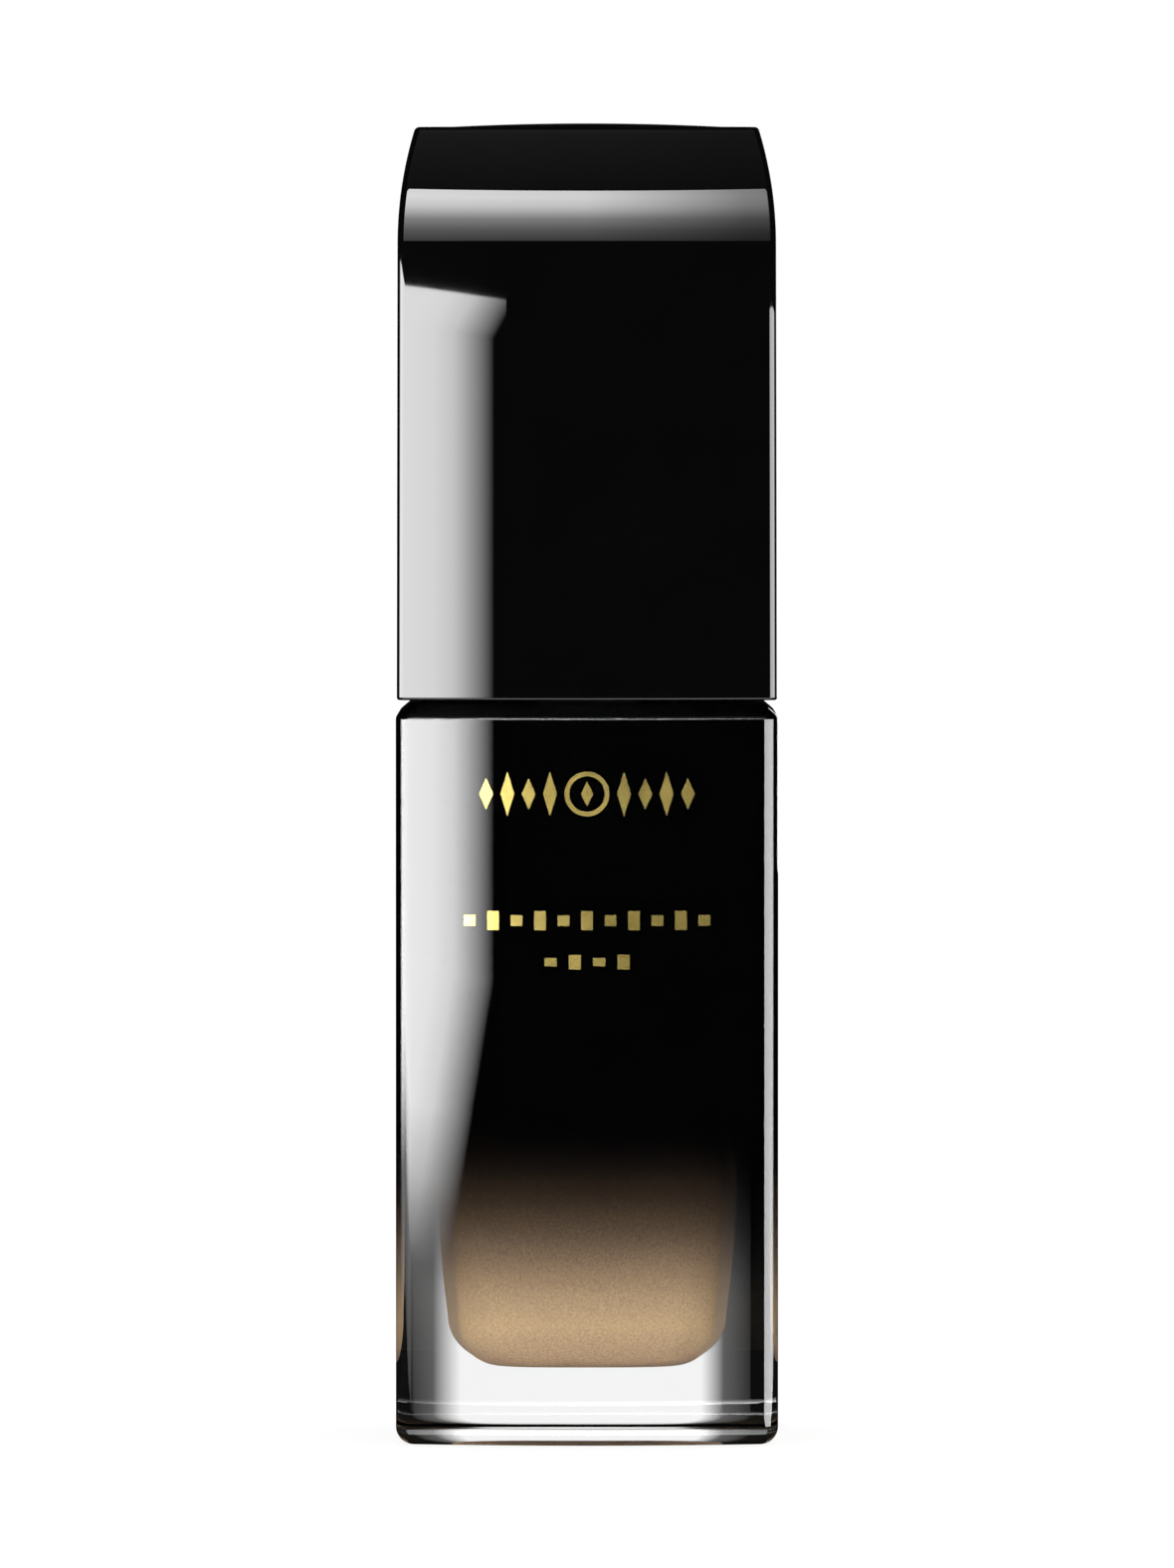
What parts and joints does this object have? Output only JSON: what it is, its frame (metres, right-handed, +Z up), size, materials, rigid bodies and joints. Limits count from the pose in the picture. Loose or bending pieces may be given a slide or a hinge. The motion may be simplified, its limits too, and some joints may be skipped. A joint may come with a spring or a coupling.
{
  "type": "foundation bottle",
  "caption": "Square heavy-based glass foundation bottle with a black-to-clear finish, a screw-on pump and a tall black overcap.",
  "frame": {"origin": "middle of the base, on the surface it stands on", "axes": "+Z up along the pump's axis, front with the foil faces -Y, +X to the right seen from the front"},
  "size_m": [0.0342, 0.0343, 0.1183],
  "materials": {
    "clear_glass": "clear, polished, outside sprayed black from the top and fading out downwards",
    "foundation_liquid": "satin liquid with a fine pearl",
    "label_film": "blank sticker",
    "gold_foil": "hot-stamped foil, polished",
    "soft_gasket": "soft, matte",
    "natural_plastic": "natural, translucent",
    "soft_plastic": "soft seal",
    "spring_steel": "bright stainless",
    "closure_plastic": "satin",
    "champagne_metal": "anodised, bright",
    "black_gloss_plastic": "high gloss",
    "black_matte_plastic": "satin"
  },
  "bodies": {
    "bottle": {"glass_bottle": "clear_glass", "foundation_fill": "foundation_liquid", "foil_emblem": "gold_foil", "foil_rules": "gold_foil", "base_label": "label_film"},
    "pump_body": {"pump_housing": "natural_plastic", "stem_guide": "natural_plastic", "neck_gasket": "soft_gasket", "dip_tube": "natural_plastic", "return_spring": "spring_steel"},
    "collar": {"screw_closure": "closure_plastic", "collar_sleeve": "champagne_metal"},
    "overcap": {"overcap_shell": "black_gloss_plastic", "overcap_liner": "black_matte_plastic"},
    "plunger": {"stem": "natural_plastic", "stem_plug": "natural_plastic"},
    "actuator": {"actuator_head": "black_gloss_plastic", "actuator_cover": "champagne_metal", "nozzle_insert": "black_gloss_plastic"},
    "piston": {"piston": "soft_plastic"},
    "inlet_ball": {"inlet_ball": "spring_steel"}
  },
  "joints": [
    {"name": "pump_rise", "type": "slide", "parent": "bottle", "child": "pump_body", "axis": [0, 0, 1], "range_m": [0, 0.0045]},
    {"name": "collar_turn", "type": "hinge", "parent": "pump_body", "child": "collar", "pos_m": [0, 0, 0.075], "axis": [0, 0, 1], "range_deg": [0, 510]},
    {"name": "cap_lift", "type": "slide", "parent": "collar", "child": "overcap", "axis": [0, 0, 1], "range_m": [0, 0.045]},
    {"name": "pump_stroke", "type": "slide", "parent": "pump_body", "child": "plunger", "axis": [0, 0, -1], "range_m": [0, 0.0045], "stiffness_N_per_m": 500, "springref_m": -0.002, "deforming": ["return_spring"]},
    {"name": "actuator_spin", "type": "hinge", "parent": "plunger", "child": "actuator", "pos_m": [0, 0, 0.092], "axis": [0, 0, 1], "continuous": true},
    {"name": "outlet_valve", "type": "slide", "parent": "plunger", "child": "piston", "axis": [0, 0, 1], "range_m": [0, 0.0006]},
    {"name": "inlet_valve", "type": "slide", "parent": "pump_body", "child": "inlet_ball", "axis": [0, 0, 1], "range_m": [0, 0.001]}
  ],
  "couplings": [
    {"joint": "collar_turn", "follows": "pump_rise", "rad_per_m": 1978.9}
  ]
}
